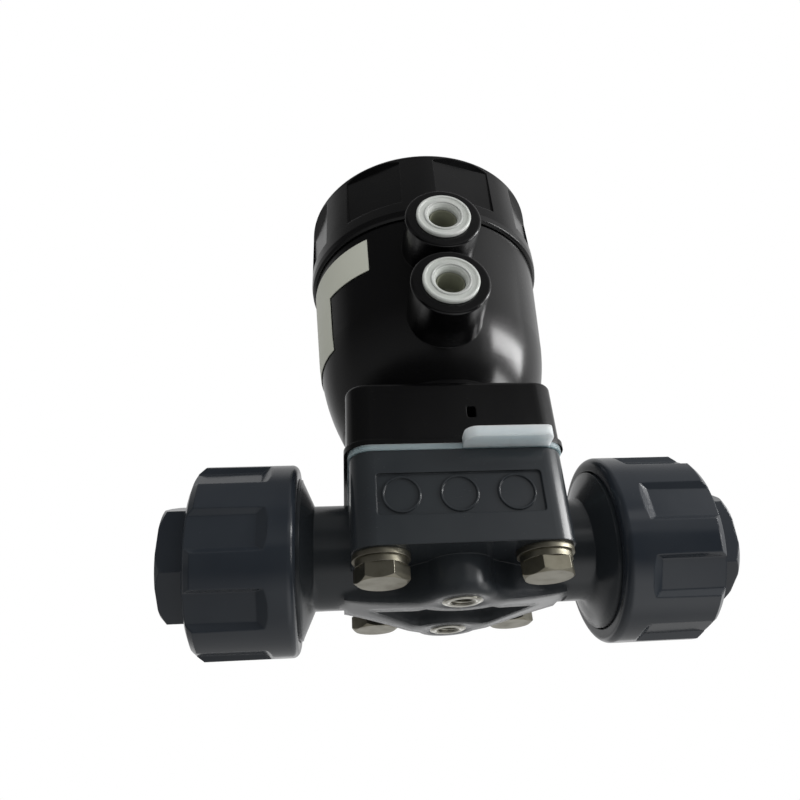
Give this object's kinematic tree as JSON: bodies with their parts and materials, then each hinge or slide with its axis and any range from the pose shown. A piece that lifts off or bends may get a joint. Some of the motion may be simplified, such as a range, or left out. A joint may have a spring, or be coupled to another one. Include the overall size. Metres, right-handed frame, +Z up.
{
  "type": "pneumatic diaphragm valve",
  "caption": "Weir-type plastic diaphragm valve with a spring-closed piston actuator, plugged air ports and union ends with solvent sockets.",
  "frame": {"origin": "centre of the two threaded mounting inserts, on the faces of the feet", "axes": "+Z up the actuator along the spindle, +X along the flow from inlet to outlet, -Y towards the air ports"},
  "size_m": [0.128, 0.0731, 0.1289],
  "materials": {
    "body_plastic": "smooth injection-moulded dark blue-grey plastic",
    "union_plastic": "smooth injection-moulded dark blue-grey plastic",
    "insert_metal": "bright turned metal",
    "seal_rubber": "black elastomer",
    "diaphragm_facing": "waxy pale fluoropolymer",
    "stainless": "plain stainless steel",
    "actuator_plastic": "satin black reinforced plastic",
    "piston_plastic": "machined black plastic",
    "guide_brass": "turned",
    "spring_steel": "bright drawn wire",
    "indicator_plastic": "orange signal plastic",
    "window_clear": "clear moulded plastic",
    "plug_plastic": "translucent white polyethylene",
    "label_film": "pale printed film, left bare"
  },
  "bodies": {
    "valve": {"valve_body": "body_plastic", "mounting_inserts": "insert_metal", "inlet_union_end": "union_plastic", "outlet_union_end": "union_plastic", "inlet_o_ring": "seal_rubber", "outlet_o_ring": "seal_rubber", "diaphragm_face": "diaphragm_facing", "diaphragm_membrane": "diaphragm_facing", "diaphragm_backing": "seal_rubber", "body_bolts": "stainless", "flat_washers": "stainless", "spring_washers": "stainless", "captive_nuts": "stainless", "actuator_housing": "actuator_plastic", "actuator_cover": "actuator_plastic", "cover_seal": "seal_rubber", "spindle_guide": "guide_brass", "spindle_seals": "seal_rubber", "outer_spring": "spring_steel", "inner_spring": "spring_steel", "indicator_window": "window_clear", "label": "label_film"},
    "moving_stem": {"piston": "piston_plastic", "piston_seal": "seal_rubber", "spindle": "stainless", "piston_nut": "stainless", "pressure_piece": "piston_plastic", "position_indicator": "indicator_plastic"},
    "inlet_nut": {"inlet_union_nut": "union_plastic"},
    "outlet_nut": {"outlet_union_nut": "union_plastic"},
    "lower_plug": {"lower_port_plug": "plug_plastic"},
    "upper_plug": {"upper_port_plug": "plug_plastic"}
  },
  "joints": [
    {"name": "spindle_stroke", "type": "slide", "parent": "valve", "child": "moving_stem", "axis": [0, 0, 1], "range_m": [0, 0.007], "stiffness_N_per_m": 6000, "springref_m": -0.03, "deforming": ["outer_spring", "inner_spring", "diaphragm_membrane", "diaphragm_backing"]},
    {"name": "inlet_nut_turn", "type": "hinge", "parent": "valve", "child": "inlet_nut", "pos_m": [-0.045, 0, 0.0145], "axis": [-1, 0, 0], "continuous": true},
    {"name": "outlet_nut_turn", "type": "hinge", "parent": "valve", "child": "outlet_nut", "pos_m": [0.045, 0, 0.0145], "axis": [1, 0, 0], "continuous": true},
    {"name": "lower_plug_pull", "type": "slide", "parent": "valve", "child": "lower_plug", "axis": [0, -1, 0], "range_m": [0, 0.012]},
    {"name": "upper_plug_pull", "type": "slide", "parent": "valve", "child": "upper_plug", "axis": [0, -1, 0], "range_m": [0, 0.012]}
  ]
}
